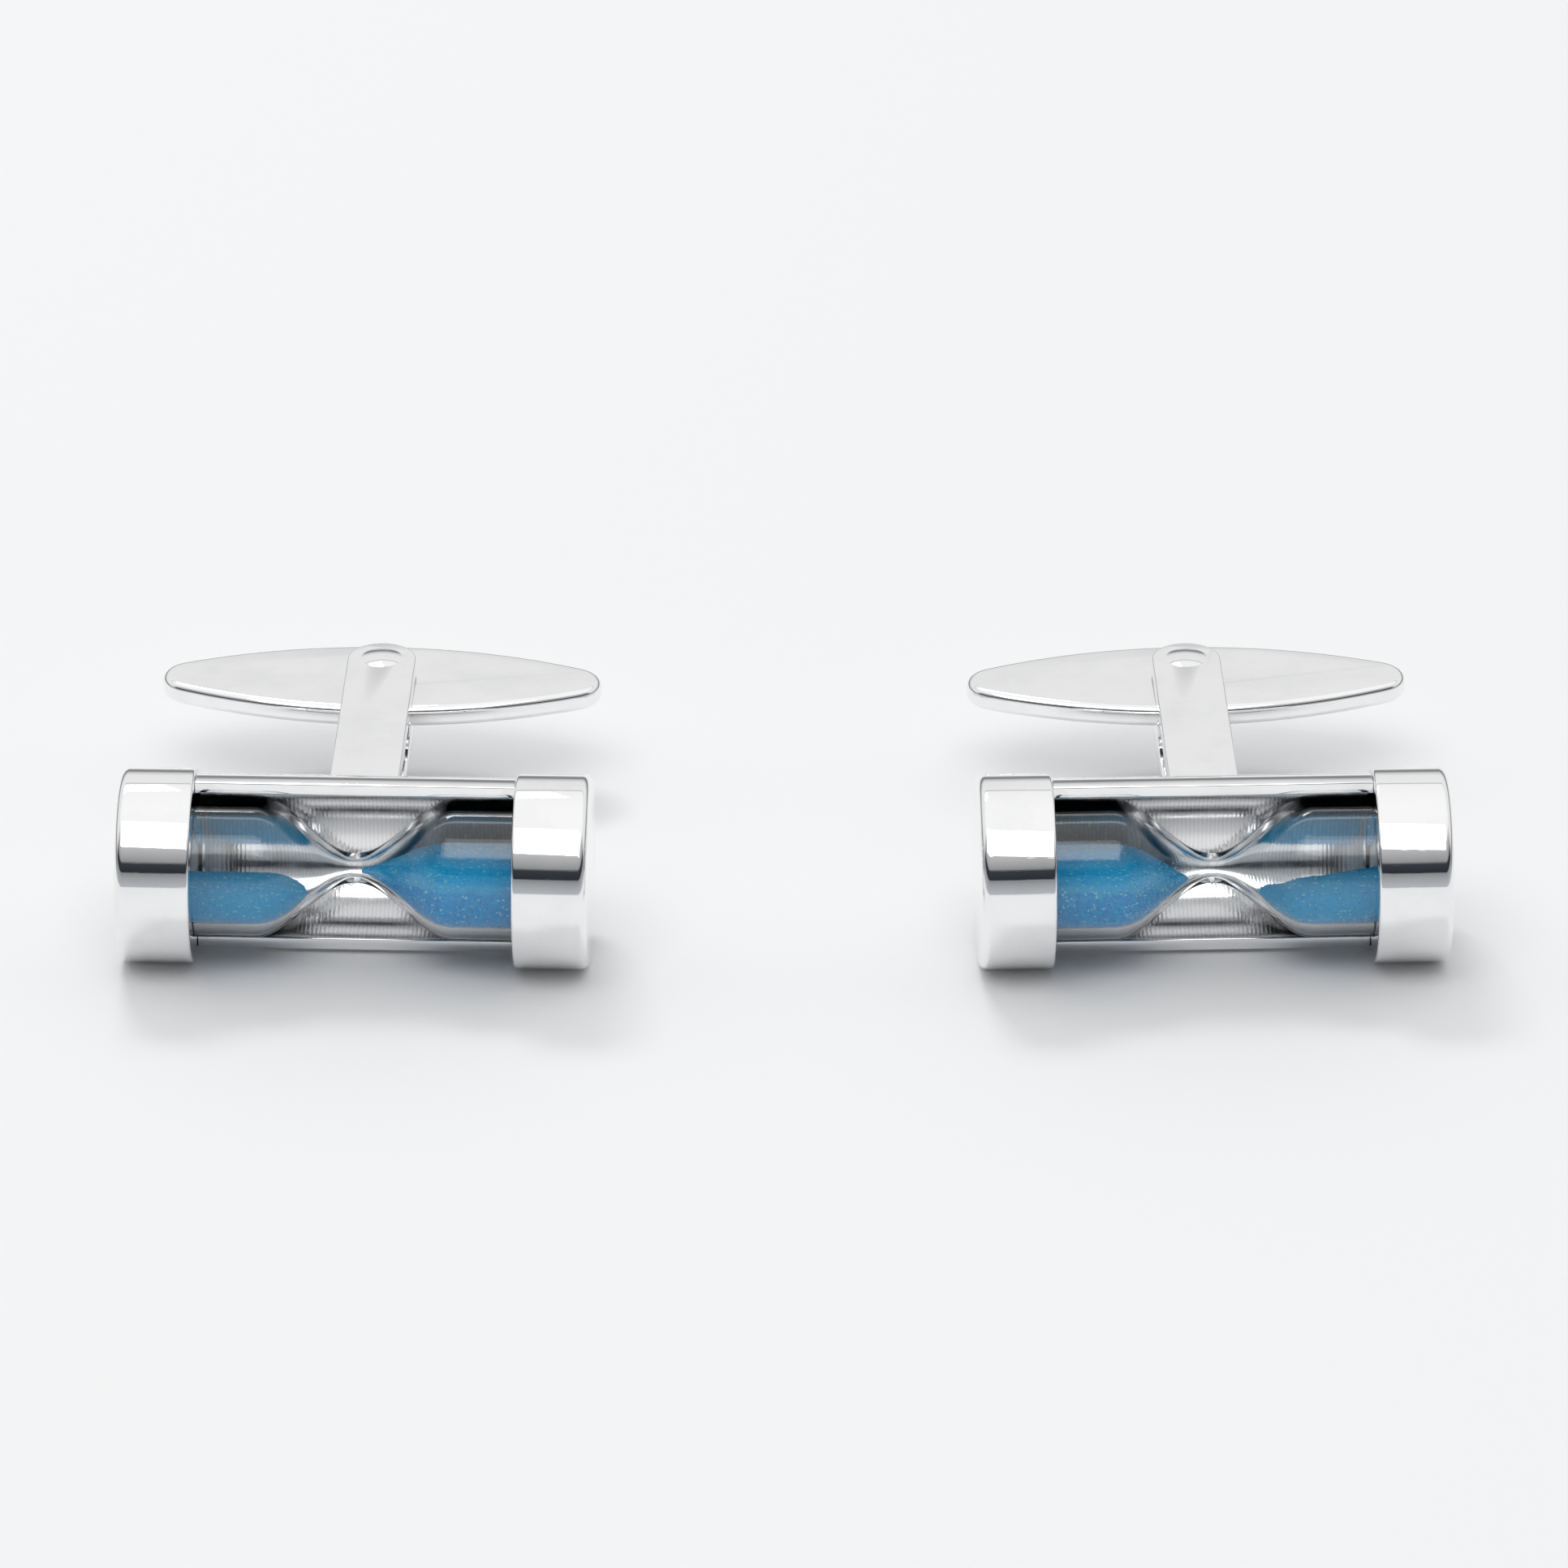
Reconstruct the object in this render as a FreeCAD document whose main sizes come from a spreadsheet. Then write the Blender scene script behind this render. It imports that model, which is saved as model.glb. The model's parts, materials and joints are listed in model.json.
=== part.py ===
"""A pair of hourglass cufflinks, each a working sand timer held in a plated barrel case.

Millimetres. X runs along both cases, +Y points from the domed fronts to the toggles, +Z is up.
Every cufflink is built about its own case axis, with the middle of the case at the origin, and is
then set in its place in the pair. The pair stands on the undersides of its end caps.
"""
import FreeCAD, Part
import Sketcher
import math
import os

SIZES = [
    # the barrel case
    ("case_width", 18.8),            # over the two end caps
    ("cap_diameter", 7.8),
    ("cap_width", 3.0),
    ("cap_edge_round", 0.35),        # outer rim of a cap
    ("cap_lip_round", 0.12),         # rim beside the window
    ("cap_bore_depth", 1.75),        # blind seat for the glass and its plug
    ("cradle_setback", 0.2),         # the half tube lies this far inside the caps' outline
    ("cradle_wall", 0.5),
    ("tenon_length", 0.8),           # ends of the half tube, let into the caps
    ("tenon_wall", 0.3),
    ("tenon_clearance", 0.02),
    # the glass
    ("vial_gap", 0.35),              # between the half tube and the glass
    ("vial_wall", 0.5),
    ("vial_seat_clearance", 0.03),   # all round the glass in a cap
    ("vial_insertion", 1.3),         # length of glass hidden in each cap
    ("neck_bore", 0.5),
    ("neck_wall", 0.35),             # glass round the narrowest place
    ("neck_reach", 4.0),             # from the middle of the neck to the straight tube
    ("plug_stem", 0.8),
    ("plug_clearance", 0.02),
    # the sand: heights of its surface above the case axis
    ("sand_clearance", 0.02),
    ("sand_gap", 0.2),               # from the middle of the neck to each heap
    ("left_outer_cap_level", -1.22),
    ("left_outer_neck_level", -1.1),
    ("left_inner_cap_level", 0.15),
    ("left_inner_neck_level", 0.1),
    ("right_outer_cap_level", -1.0),
    ("right_outer_neck_level", -1.4),
    ("right_inner_cap_level", 0.35),
    ("right_inner_neck_level", -0.5),
    # the forked post
    ("arm_width", 2.8),
    ("arm_thickness", 0.8),
    ("arm_edge_round", 0.2),
    ("cuff_gap", 9.35),              # from the backs of the caps to the toggle
    ("fold_clearance", 0.4),         # from the folded toggle's tip to the root of the slot
    # the pivot
    ("pin_diameter", 1.2),
    ("pin_head_overhang", 0.25),     # rim of a head round the shaft
    ("pin_head_rise", 0.12),
    ("pin_fit_clearance", 0.01),     # pin in the arms
    ("running_clearance", 0.03),     # toggle and washer on the pin
    ("pivot_clearance", 0.05),       # faces of the toggle and washer in the slot
    ("washer_rim", 0.7),             # from the pin's shaft to the outside of the washer
    ("washer_thickness", 0.15),
    # the toggle
    ("toggle_length", 18.0),
    ("toggle_width", 5.9),
    ("toggle_thickness", 0.9),
    ("toggle_end_radius", 1.3),
    ("toggle_edge_round", 0.3),
    # the pair
    ("pair_spacing", 34.2),          # between the middles of the cases
    ("toe_angle", 2.2),              # degrees, inner ends turned forward
]

doc = FreeCAD.newDocument("hourglass_cufflinks")
sheet = doc.addObject("Spreadsheet::Sheet", "sizes")
for row, (name, number) in enumerate(SIZES, start=1):
    sheet.set(f"A{row}", name)
    sheet.set(f"B{row}", str(number))
    sheet.setAlias(f"B{row}", name)
doc.recompute()


def size(name):
    """The text that stands for one cell of the sheet in an expression."""
    return f"sizes.{name}"


def value(expression):
    """The number that an expression on the sheet gives now."""
    result = sheet.evalExpression(expression)
    return float(getattr(result, "Value", result))


# ---- lengths that follow from the sheet, as expressions ----

CAP_RADIUS = f"({size('cap_diameter')} / 2)"
CRADLE_RADIUS = f"({CAP_RADIUS} - {size('cradle_setback')})"
TROUGH_RADIUS = f"({CRADLE_RADIUS} - {size('cradle_wall')})"
CASE_HALF = f"({size('case_width')} / 2)"
WINDOW_HALF = f"({CASE_HALF} - {size('cap_width')})"
TENON_MID = f"(({CRADLE_RADIUS} + {TROUGH_RADIUS}) / 2)"

VIAL_RADIUS = f"({TROUGH_RADIUS} - {size('vial_gap')})"
VIAL_HALF = f"({WINDOW_HALF} + {size('vial_insertion')})"
CHAMBER_RADIUS = f"({VIAL_RADIUS} - {size('vial_wall')})"
NECK_BORE_RADIUS = f"({size('neck_bore')} / 2)"
NECK_RADIUS = f"({NECK_BORE_RADIUS} + {size('neck_wall')})"
SEAT_END = f"({WINDOW_HALF} + {size('cap_bore_depth')})"
PLUG_FACE = f"({VIAL_HALF} - {size('plug_stem')})"

SLOT_HEIGHT = (f"({size('toggle_thickness')} + {size('washer_thickness')}"
               f" + 3 * {size('pivot_clearance')})")
POST_HALF = f"({SLOT_HEIGHT} / 2 + {size('arm_thickness')})"
PIVOT_REACH = f"({CAP_RADIUS} + {size('cuff_gap')} + {size('toggle_width')} / 2)"
SLOT_ROOT = f"({PIVOT_REACH} - {size('toggle_length')} / 2 - {size('fold_clearance')})"
ARM_HALF = f"({size('arm_width')} / 2)"
PIN_RADIUS = f"({size('pin_diameter')} / 2)"
WASHER_BASE = f"({size('pivot_clearance')} - {SLOT_HEIGHT} / 2)"
TOGGLE_BASE = f"({WASHER_BASE} + {size('washer_thickness')} + {size('pivot_clearance')})"


# ---- small helpers for bodies, sketches and features ----

def new_body(label):
    body = doc.addObject("PartDesign::Body", label)
    body.Label = label
    return body


def new_sketch(body, plane, offset="0"):
    """An empty sketch on one of the body's own origin planes, moved along the plane's normal."""
    sketch = body.newObject("Sketcher::SketchObject", f"{body.Name}_sketch")
    origin_plane = [feature for feature in body.Origin.OriginFeatures if feature.Role == plane][0]
    sketch.AttachmentSupport = [(origin_plane, "")]
    sketch.MapMode = "FlatFace"
    if offset != "0":
        sketch.setExpression(".AttachmentOffset.Base.z", offset)
    return sketch


def locate(sketch, geometry, point, x, y):
    """Tie a sketch point to its two coordinates, each an expression."""
    for kind, axis, coordinate in (("DistanceX", -2, x), ("DistanceY", -1, y)):
        if coordinate == "0":
            sketch.addConstraint(Sketcher.Constraint("PointOnObject", geometry, point, axis))
            continue
        rule = sketch.addConstraint(
            Sketcher.Constraint(kind, -1, 1, geometry, point, value(coordinate)))
        sketch.setExpression(f"Constraints[{rule}]", coordinate)


def draw_circle(sketch, x, y, radius):
    centre = FreeCAD.Vector(value(x), value(y), 0)
    circle = sketch.addGeometry(Part.Circle(centre, FreeCAD.Vector(0, 0, 1), value(radius)))
    locate(sketch, circle, 3, x, y)
    rule = sketch.addConstraint(Sketcher.Constraint("Radius", circle, value(radius)))
    sketch.setExpression(f"Constraints[{rule}]", radius)


def draw_outline(sketch, corners, arcs=None):
    """A closed outline through the corners, each a pair of expressions.

    arcs gives the edges that are round: edge number to (radius, turn), where a turn of 1 runs
    anticlockwise from the edge's first corner and -1 runs clockwise. Every arc is a minor one.
    """
    arcs = arcs or {}
    points = [FreeCAD.Vector(value(x), value(y), 0) for x, y in corners]
    edges = []
    for number, start in enumerate(points):
        end = points[(number + 1) % len(points)]
        if number not in arcs:
            edges.append((sketch.addGeometry(Part.LineSegment(start, end)), 1, 2))
            continue
        radius, turn = arcs[number]
        first, last = (start, end) if turn > 0 else (end, start)
        chord = last - first
        rise = math.sqrt(max(value(radius) ** 2 - chord.Length ** 2 / 4, 0))
        inward = FreeCAD.Vector(-chord.y, chord.x, 0).normalize()
        centre = (first + last) * 0.5 + inward * rise
        circle = Part.Circle(centre, FreeCAD.Vector(0, 0, 1), value(radius))
        arc = Part.ArcOfCircle(circle, circle.parameter(first), circle.parameter(last))
        geometry = sketch.addGeometry(arc)
        edges.append((geometry, 1, 2) if turn > 0 else (geometry, 2, 1))
    for number, (geometry, start, end) in enumerate(edges):
        following, following_start, _ = edges[(number + 1) % len(edges)]
        sketch.addConstraint(
            Sketcher.Constraint("Coincident", geometry, end, following, following_start))
        locate(sketch, geometry, start, *corners[number])
        if number in arcs:
            radius = arcs[number][0]
            rule = sketch.addConstraint(Sketcher.Constraint("Radius", geometry, value(radius)))
            sketch.setExpression(f"Constraints[{rule}]", radius)


def half_ring(sketch, inner, outer):
    """The back half of a ring about the case axis, on a plane across it: (Y, Z) corners."""
    corners = [("0", f"-{outer}"), (outer, "0"), ("0", outer),
               ("0", inner), (inner, "0"), ("0", f"-{inner}")]
    arcs = {0: (outer, 1), 1: (outer, 1), 3: (inner, -1), 4: (inner, -1)}
    draw_outline(sketch, corners, arcs)


def pad(body, sketch, length):
    feature = body.newObject("PartDesign::Pad", f"{body.Name}_pad")
    feature.Profile = sketch
    feature.setExpression("Length", length)
    return feature


def pocket(body, sketch, length, along_normal=False):
    feature = body.newObject("PartDesign::Pocket", f"{body.Name}_pocket")
    feature.Profile = sketch
    feature.Reversed = along_normal
    feature.setExpression("Length", length)
    return feature


def revolve(body, sketch, axis):
    feature = body.newObject("PartDesign::Revolution", f"{body.Name}_turned")
    feature.Profile = sketch
    feature.ReferenceAxis = (sketch, [axis])
    feature.Angle = 360
    return feature


def round_flat_faces(body, base, radius):
    """Round the outlines of the two faces of a feature that look up and down."""
    doc.recompute()
    faces = []
    for number, face in enumerate(base.Shape.Faces, start=1):
        if isinstance(face.Surface, Part.Plane) and abs(face.normalAt(0, 0).z) > 0.99:
            faces.append(f"Face{number}")
    fillet = body.newObject("PartDesign::Fillet", f"{body.Name}_rounded")
    fillet.Base = (base, faces)
    fillet.setExpression("Radius", radius)
    return fillet


def s_curve(wide, narrow, reach):
    """Corner heights and arc radius of the neck: two equal arcs, level at both ends."""
    middle = f"(({wide} + {narrow}) / 2)"
    drop = f"({wide} - {narrow})"
    radius = f"((({reach} / 2)^2 + ({drop} / 2)^2) / {drop})"
    return middle, radius


# ---- the pieces of one cufflink, about its own case axis; end is 1 or -1 along X ----

def make_cradle(label):
    """Half tube that carries the glass, with thinner ends let into the caps."""
    body = new_body(label)
    trough = new_sketch(body, "YZ_Plane", f"-{WINDOW_HALF}")
    half_ring(trough, TROUGH_RADIUS, CRADLE_RADIUS)
    pad(body, trough, f"2 * {WINDOW_HALF}")
    tenon = new_sketch(body, "YZ_Plane", f"-({WINDOW_HALF} + {size('tenon_length')})")
    half_ring(tenon, f"({TENON_MID} - {size('tenon_wall')} / 2)",
              f"({TENON_MID} + {size('tenon_wall')} / 2)")
    pad(body, tenon, f"2 * ({WINDOW_HALF} + {size('tenon_length')})")
    return body


def make_cap(label, end):
    """Turned end cap with a blind seat for the glass and a groove for the half tube."""
    body = new_body(label)
    seat = f"({VIAL_RADIUS} + {size('vial_seat_clearance')})"
    edge = size("cap_edge_round")
    lip = size("cap_lip_round")
    profile = new_sketch(body, "XY_Plane")
    corners = [
        (f"{end} * {WINDOW_HALF}", seat),
        (f"{end} * {WINDOW_HALF}", f"({CAP_RADIUS} - {lip})"),
        (f"{end} * ({WINDOW_HALF} + {lip})", CAP_RADIUS),
        (f"{end} * ({CASE_HALF} - {edge})", CAP_RADIUS),
        (f"{end} * {CASE_HALF}", f"({CAP_RADIUS} - {edge})"),
        (f"{end} * {CASE_HALF}", "0"),
        (f"{end} * {SEAT_END}", "0"),
        (f"{end} * {SEAT_END}", seat),
    ]
    draw_outline(profile, corners, {1: (lip, -end), 3: (edge, -end)})
    revolve(body, profile, "H_Axis")
    groove = new_sketch(body, "YZ_Plane", f"{end} * {WINDOW_HALF}")
    slack = f"({size('tenon_wall')} / 2 + {size('tenon_clearance')})"
    half_ring(groove, f"({TENON_MID} - {slack})", f"({TENON_MID} + {slack})")
    depth = f"{size('tenon_length')} + {size('tenon_clearance')}"
    pocket(body, groove, depth, along_normal=end > 0)
    return body


def make_vial(label):
    """Blown glass tube, necked in the middle inside and out, open at its ends."""
    body = new_body(label)
    reach = size("neck_reach")
    outer_middle, outer_radius = s_curve(VIAL_RADIUS, NECK_RADIUS, reach)
    inner_middle, inner_radius = s_curve(CHAMBER_RADIUS, NECK_BORE_RADIUS, reach)
    profile = new_sketch(body, "XY_Plane")
    corners = [
        (f"-{VIAL_HALF}", VIAL_RADIUS),
        (f"-{reach}", VIAL_RADIUS),
        (f"-{reach} / 2", outer_middle),
        ("0", NECK_RADIUS),
        (f"{reach} / 2", outer_middle),
        (reach, VIAL_RADIUS),
        (VIAL_HALF, VIAL_RADIUS),
        (VIAL_HALF, CHAMBER_RADIUS),
        (reach, CHAMBER_RADIUS),
        (f"{reach} / 2", inner_middle),
        ("0", NECK_BORE_RADIUS),
        (f"-{reach} / 2", inner_middle),
        (f"-{reach}", CHAMBER_RADIUS),
        (f"-{VIAL_HALF}", CHAMBER_RADIUS),
    ]
    outer_arcs = {1: (outer_radius, -1), 2: (outer_radius, 1),
                  3: (outer_radius, 1), 4: (outer_radius, -1)}
    inner_arcs = {8: (inner_radius, 1), 9: (inner_radius, -1),
                  10: (inner_radius, -1), 11: (inner_radius, 1)}
    draw_outline(profile, corners, {**outer_arcs, **inner_arcs})
    revolve(body, profile, "H_Axis")
    return body


def make_plug(label, end):
    """Stopper: a stem in the glass and a flange between the glass and the cap."""
    body = new_body(label)
    clearance = size("plug_clearance")
    stem = f"({CHAMBER_RADIUS} - {clearance})"
    flange = f"({VIAL_RADIUS} - {clearance})"
    profile = new_sketch(body, "XY_Plane")
    corners = [
        (f"{end} * {PLUG_FACE}", "0"),
        (f"{end} * {PLUG_FACE}", stem),
        (f"{end} * {VIAL_HALF}", stem),
        (f"{end} * {VIAL_HALF}", flange),
        (f"{end} * {SEAT_END}", flange),
        (f"{end} * {SEAT_END}", "0"),
    ]
    draw_outline(profile, corners)
    revolve(body, profile, "H_Axis")
    return body


def make_sand(label, end, cap_level, neck_level):
    """Heap in one chamber: what fills the glass, cut off along the sand's sloping surface."""
    body = new_body(label)
    clearance = size("sand_clearance")
    reach = size("neck_reach")
    wide = f"({CHAMBER_RADIUS} - {clearance})"
    narrow = f"({NECK_BORE_RADIUS} - {clearance})"
    middle, radius = s_curve(wide, narrow, reach)
    filling = new_sketch(body, "XY_Plane")
    corners = [
        ("0", "0"),
        ("0", narrow),
        (f"{end} * {reach} / 2", middle),
        (f"{end} * {reach}", wide),
        (f"{end} * {PLUG_FACE}", wide),
        (f"{end} * {PLUG_FACE}", "0"),
    ]
    draw_outline(filling, corners, {1: (radius, end), 2: (radius, -end)})
    revolve(body, filling, "H_Axis")
    margin = f"(2 * {VIAL_RADIUS})"
    near = f"{end} * {size('sand_gap')}"
    beyond_neck = f"-{end} * {margin}"
    beyond_cap = f"{end} * ({PLUG_FACE} + {margin})"
    surface = new_sketch(body, "XZ_Plane", f"-{margin}")
    draw_outline(surface, [
        (beyond_neck, f"-{margin}"),
        (near, f"-{margin}"),
        (near, neck_level),
        (beyond_cap, f"({cap_level} + ({cap_level} - {neck_level}) * {margin} / {PLUG_FACE})"),
        (beyond_cap, margin),
        (beyond_neck, margin),
    ])
    pocket(body, surface, f"2 * {margin}", along_normal=True)
    return body


def make_post(label):
    """Forked post: a root soldered to the back of the half tube, and two arms for the pivot."""
    body = new_body(label)
    outline = new_sketch(body, "XY_Plane", f"-{POST_HALF}")
    draw_outline(outline, [
        (f"-{ARM_HALF}", f"({CRADLE_RADIUS} / 2)"),
        (ARM_HALF, f"({CRADLE_RADIUS} / 2)"),
        (ARM_HALF, PIVOT_REACH),
        ("0", f"({PIVOT_REACH} + {ARM_HALF})"),
        (f"-{ARM_HALF}", PIVOT_REACH),
    ], {2: (ARM_HALF, 1), 3: (ARM_HALF, 1)})
    bar = pad(body, outline, f"2 * {POST_HALF}")
    round_flat_faces(body, bar, size("arm_edge_round"))
    seat = new_sketch(body, "YZ_Plane", f"-{size('arm_width')}")
    draw_circle(seat, "0", "0", CRADLE_RADIUS)
    pocket(body, seat, f"2 * {size('arm_width')}", along_normal=True)
    slot = new_sketch(body, "YZ_Plane", f"-{size('arm_width')}")
    beyond = f"({PIVOT_REACH} + {size('arm_width')})"
    draw_outline(slot, [
        (SLOT_ROOT, f"-{SLOT_HEIGHT} / 2"),
        (beyond, f"-{SLOT_HEIGHT} / 2"),
        (beyond, f"{SLOT_HEIGHT} / 2"),
        (SLOT_ROOT, f"{SLOT_HEIGHT} / 2"),
    ])
    pocket(body, slot, f"2 * {size('arm_width')}", along_normal=True)
    hole = new_sketch(body, "XY_Plane", f"-2 * {POST_HALF}")
    draw_circle(hole, "0", PIVOT_REACH, f"({PIN_RADIUS} + {size('pin_fit_clearance')})")
    pocket(body, hole, f"4 * {POST_HALF}", along_normal=True)
    return body


def make_pin(label):
    """Rivet through both arms, with a low domed head on each side."""
    body = new_body(label)
    head = f"({PIN_RADIUS} + {size('pin_head_overhang')})"
    rise = size("pin_head_rise")
    dome = f"(({head}^2 + {rise}^2) / (2 * {rise}))"
    profile = new_sketch(body, "XZ_Plane")
    corners = [
        ("0", f"({POST_HALF} + {rise})"),
        (head, POST_HALF),
        (PIN_RADIUS, POST_HALF),
        (PIN_RADIUS, f"-{POST_HALF}"),
        (head, f"-{POST_HALF}"),
        ("0", f"-({POST_HALF} + {rise})"),
    ]
    draw_outline(profile, corners, {0: (dome, -1), 4: (dome, -1)})
    revolve(body, profile, "V_Axis")
    return body


def make_washer(label):
    """Thin friction washer between the lower arm and the toggle."""
    body = new_body(label)
    ring = new_sketch(body, "XY_Plane", WASHER_BASE)
    draw_circle(ring, "0", "0", f"({PIN_RADIUS} + {size('washer_rim')})")
    draw_circle(ring, "0", "0", f"({PIN_RADIUS} + {size('running_clearance')})")
    pad(body, ring, size("washer_thickness"))
    return body


def make_toggle(label):
    """Swivelling cross bar: bowed long sides tangent to round ends, and a bore for the pin."""
    body = new_body(label)
    end_radius = size("toggle_end_radius")
    end_centre = f"({size('toggle_length')} / 2 - {end_radius})"
    bow = f"({size('toggle_width')} / 2 - {end_radius})"
    bow_offset = f"(({end_centre}^2 - {bow}^2) / (2 * {bow}))"
    bow_radius = f"({bow_offset} + {size('toggle_width')} / 2)"
    reach = f"({end_centre} + {end_radius} * {end_centre} / ({bow_radius} - {end_radius}))"
    half = f"({end_radius} * {bow_offset} / ({bow_radius} - {end_radius}))"
    tip = f"({size('toggle_length')} / 2)"
    outline = new_sketch(body, "XY_Plane", TOGGLE_BASE)
    corners = [(f"-{reach}", f"-{half}"), (reach, f"-{half}"), (tip, "0"),
               (reach, half), (f"-{reach}", half), (f"-{tip}", "0")]
    arcs = {0: (bow_radius, 1), 1: (end_radius, 1), 2: (end_radius, 1),
            3: (bow_radius, 1), 4: (end_radius, 1), 5: (end_radius, 1)}
    draw_outline(outline, corners, arcs)
    bar = pad(body, outline, size("toggle_thickness"))
    round_flat_faces(body, bar, size("toggle_edge_round"))
    hole = new_sketch(body, "XY_Plane", f"-{POST_HALF}")
    draw_circle(hole, "0", "0", f"({PIN_RADIUS} + {size('running_clearance')})")
    pocket(body, hole, f"2 * {POST_HALF}", along_normal=True)
    return body


# ---- the two cufflinks, and their places in the pair ----

def pair_depth_middle():
    """Half way from the foremost cap edge to the rearmost point of the toggles, along Y."""
    toe = math.radians(value(size("toe_angle")))
    edge = value(size("cap_edge_round"))
    front = ((value(CASE_HALF) - edge) * math.sin(toe)
             + (value(CAP_RADIUS) - edge) * math.cos(toe) + edge)
    end_radius = value(size("toggle_end_radius"))
    bow = value(size("toggle_width")) / 2 - end_radius
    end_centre = value(size("toggle_length")) / 2 - end_radius
    bow_offset = (end_centre ** 2 - bow ** 2) / (2 * bow)
    back = (value(PIVOT_REACH) * math.cos(toe) + value(size("toggle_width")) / 2
            + bow_offset * (1 - math.cos(toe)))
    return (back - front) / 2


def cufflink_placement(side_sign):
    """Place of one cufflink; side_sign is -1 for the left one and 1 for the right one."""
    position = FreeCAD.Vector(side_sign * value(size("pair_spacing")) / 2,
                              -pair_depth_middle(), value(CAP_RADIUS))
    turn = FreeCAD.Rotation(FreeCAD.Vector(0, 0, 1), side_sign * value(size("toe_angle")))
    return FreeCAD.Placement(position, turn)


def make_cufflink(side, side_sign):
    """All pieces of one cufflink. Its inner end looks at the other cufflink."""
    case = [make_cradle(f"{side}_cradle"), make_vial(f"{side}_vial"), make_post(f"{side}_post")]
    for end_name, end in (("outer", side_sign), ("inner", -side_sign)):
        levels = [size(f"{side}_{end_name}_{place}_level") for place in ("cap", "neck")]
        case.append(make_cap(f"{side}_{end_name}_cap", end))
        case.append(make_plug(f"{side}_{end_name}_plug", end))
        case.append(make_sand(f"{side}_{end_name}_sand", end, *levels))
    pivot = [make_pin(f"{side}_pivot_pin"), make_washer(f"{side}_friction_washer"),
             make_toggle(f"{side}_toggle")]
    place = cufflink_placement(side_sign)
    to_pivot = FreeCAD.Placement(FreeCAD.Vector(0, value(PIVOT_REACH), 0),
                                 FreeCAD.Rotation())
    for body in case:
        body.Placement = place
    for body in pivot:
        body.Placement = place * to_pivot
    return case + pivot


def check(bodies):
    """Stop before anything is written if an object failed or a piece isn't one sound solid."""
    for item in doc.Objects:
        if "Invalid" in item.State or "Error" in item.State:
            raise RuntimeError(f"{item.Name} failed: {item.State}")
    for body in bodies:
        shape = body.Shape
        if shape.isNull() or not shape.isValid() or len(shape.Solids) != 1:
            raise RuntimeError(f"{body.Label} isn't one valid solid")


pieces = make_cufflink("left", -1) + make_cufflink("right", 1)
doc.recompute()
check(pieces)
os.makedirs("parts", exist_ok=True)
for piece in pieces:
    piece.Shape.exportStep(f"parts/{piece.Label}.step")
print(f"{len(pieces)} pieces written")
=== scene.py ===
import json
import math

import bpy
from mathutils import Matrix, Vector


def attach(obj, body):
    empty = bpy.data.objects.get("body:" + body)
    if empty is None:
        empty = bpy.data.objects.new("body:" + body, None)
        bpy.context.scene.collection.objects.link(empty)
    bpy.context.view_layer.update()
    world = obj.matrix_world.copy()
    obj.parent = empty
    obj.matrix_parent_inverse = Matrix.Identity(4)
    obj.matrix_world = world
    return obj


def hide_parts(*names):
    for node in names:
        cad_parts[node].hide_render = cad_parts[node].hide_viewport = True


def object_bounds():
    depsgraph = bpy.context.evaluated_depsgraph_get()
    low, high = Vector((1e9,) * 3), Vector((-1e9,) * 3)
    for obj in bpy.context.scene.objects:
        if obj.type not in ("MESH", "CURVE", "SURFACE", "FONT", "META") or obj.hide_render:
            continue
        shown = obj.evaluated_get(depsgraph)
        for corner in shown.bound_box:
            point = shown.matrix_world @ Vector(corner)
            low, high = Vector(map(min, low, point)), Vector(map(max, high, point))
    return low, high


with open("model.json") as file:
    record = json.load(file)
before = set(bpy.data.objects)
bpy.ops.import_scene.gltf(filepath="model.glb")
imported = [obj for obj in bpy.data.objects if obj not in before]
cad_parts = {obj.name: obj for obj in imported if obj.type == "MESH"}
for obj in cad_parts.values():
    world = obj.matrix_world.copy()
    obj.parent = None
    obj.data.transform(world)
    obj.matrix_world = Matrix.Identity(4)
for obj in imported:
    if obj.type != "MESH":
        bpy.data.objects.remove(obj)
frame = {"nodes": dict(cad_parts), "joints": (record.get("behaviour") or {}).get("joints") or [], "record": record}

# A pair of hourglass cufflinks: plated barrel cases, necked glass, blue sand, forked posts.
# Metres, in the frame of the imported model. Each cufflink is modelled about its own case axis, X
# along the case and +Y towards the toggle, and its meshes are then set in its place in the pair.

CAD_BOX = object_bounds()
MM = 0.001
SIDES = {"left": -1, "right": 1}


# ---- where the frame says things are ----

def mount(name):
    return [m for m in frame["record"]["mounts"] if m["name"] == name][0]


def joint(name):
    return [j for j in frame["joints"] if j["name"] == name][0]


def local_box(node, place):
    """Lowest and highest corners of a CAD node in the cufflink's own axes."""
    inverse = place.inverted()
    corners = [inverse @ vertex.co for vertex in frame["nodes"][node].data.vertices]
    low = Vector(min(corner[axis] for corner in corners) for axis in range(3))
    high = Vector(max(corner[axis] for corner in corners) for axis in range(3))
    return low, high


def cufflink_place(side):
    """Matrix from a cufflink's own axes, with the origin on its case axis, to the frame."""
    along_post = Vector(mount(f"{side}_buttonhole_post")["axis"])
    end = mount(f"{side}_outer_end")
    middle_to_end = Vector(end["axis"])
    pivot = Vector(joint(f"{side}_toggle_swivel")["pos_m"])
    reach = (pivot - Vector(end["pos_m"])).dot(along_post)
    middle = pivot - along_post * reach
    turn = math.atan2(middle_to_end.y * SIDES[side], middle_to_end.x * SIDES[side])
    return Matrix.Translation(middle) @ Matrix.Rotation(turn, 4, "Z")


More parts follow.
